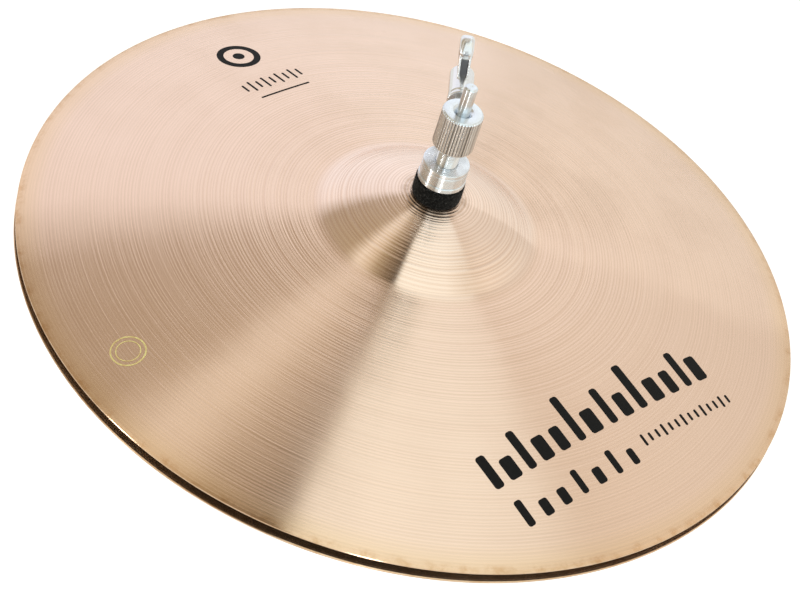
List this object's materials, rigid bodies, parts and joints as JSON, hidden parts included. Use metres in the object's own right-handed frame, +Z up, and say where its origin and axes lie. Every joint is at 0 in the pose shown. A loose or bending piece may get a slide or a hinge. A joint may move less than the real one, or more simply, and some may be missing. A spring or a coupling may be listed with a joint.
{
  "type": "hi-hat cymbal pair",
  "caption": "Pair of hi-hat cymbals on a felt seat, the upper one hung on a pull rod by a clutch with a wing screw.",
  "frame": {"origin": "on the pull rod's axis, at the shoulder of the seat's spigot, which stands on the stand's tube", "axes": "+Z up along the pull rod, +Y towards the wing screw, so the front is towards -Y"},
  "size_m": [0.381, 0.381, 0.2513],
  "materials": {
    "bronze": "polished cast bronze, lathed",
    "felt": "pressed wool felt, black",
    "aluminium": "polished",
    "chrome": "bright plate",
    "steel": "zinc plated",
    "rod_steel": "ground and plated",
    "black_nylon": "moulded",
    "natural_nylon": "moulded",
    "rubber": "moulded",
    "brass": "turned"
  },
  "bodies": {
    "seat": {"seat_spigot": "steel", "rod_guide_bushes": "natural_nylon", "seat_cup": "black_nylon", "cup_screws": "steel", "seat_felt": "felt"},
    "bottom_cymbal": {"bottom_cymbal": "bronze"},
    "pull_rod": {"pull_rod": "rod_steel", "rod_lock_nut": "steel", "rod_bumper": "rubber"},
    "clutch": {"clutch_body": "aluminium", "clutch_sleeve": "steel", "sleeve_liner": "natural_nylon", "upper_felt": "felt"},
    "top_cymbal": {"top_cymbal": "bronze"},
    "clamp_washer": {"clamp_washer": "aluminium"},
    "clamp_nuts": {"clamp_nut": "aluminium", "jam_nut": "aluminium"},
    "lower_felt": {"lower_felt": "felt", "lower_washer": "steel"},
    "bottom_nut": {"bottom_nut": "aluminium"},
    "clamp_pad": {"clamp_pad": "brass"},
    "wing_screw": {"wing_stud": "steel", "wing_handle": "chrome"}
  },
  "joints": [
    {"name": "bottom_cymbal_spin", "type": "hinge", "parent": "seat", "child": "bottom_cymbal", "pos_m": [0, 0, 0.06], "axis": [0, 0, 1], "continuous": true},
    {"name": "pull", "type": "slide", "parent": "seat", "child": "pull_rod", "axis": [0, 0, 1], "range_m": [-0.0041, 0.0215]},
    {"name": "clutch_height", "type": "slide", "parent": "pull_rod", "child": "clutch", "axis": [0, 0, 1], "range_m": [0, 0.014]},
    {"name": "top_cymbal_spin", "type": "hinge", "parent": "clutch", "child": "top_cymbal", "pos_m": [0, 0, 0.0668], "axis": [0, 0, 1], "continuous": true},
    {"name": "clamp_washer_travel", "type": "slide", "parent": "clutch", "child": "clamp_washer", "axis": [0, 0, 1], "range_m": [0, 0.008]},
    {"name": "clamp_nuts_turn", "type": "hinge", "parent": "clamp_washer", "child": "clamp_nuts", "pos_m": [0, 0, 0.1248], "axis": [0, 0, 1], "range_deg": [0, 2881]},
    {"name": "lower_felt_travel", "type": "slide", "parent": "clutch", "child": "lower_felt", "axis": [0, 0, -1], "range_m": [0, 0.006]},
    {"name": "bottom_nut_turn", "type": "hinge", "parent": "lower_felt", "child": "bottom_nut", "pos_m": [0, 0, 0.0988], "axis": [0, 0, -1], "range_deg": [0, 2161]},
    {"name": "clamp_pad_travel", "type": "slide", "parent": "clutch", "child": "clamp_pad", "axis": [0, 1, 0], "range_m": [0, 0.002]},
    {"name": "wing_screw_turn", "type": "hinge", "parent": "clamp_pad", "child": "wing_screw", "pos_m": [0, 0.022, 0.1518], "axis": [0, 1, 0], "range_deg": [0, 721]}
  ],
  "couplings": [
    {"joint": "clamp_nuts_turn", "follows": "clamp_washer_travel", "rad_per_m": 6283.2},
    {"joint": "bottom_nut_turn", "follows": "lower_felt_travel", "rad_per_m": 6283.2},
    {"joint": "wing_screw_turn", "follows": "clamp_pad_travel", "rad_per_m": 6283.2}
  ]
}
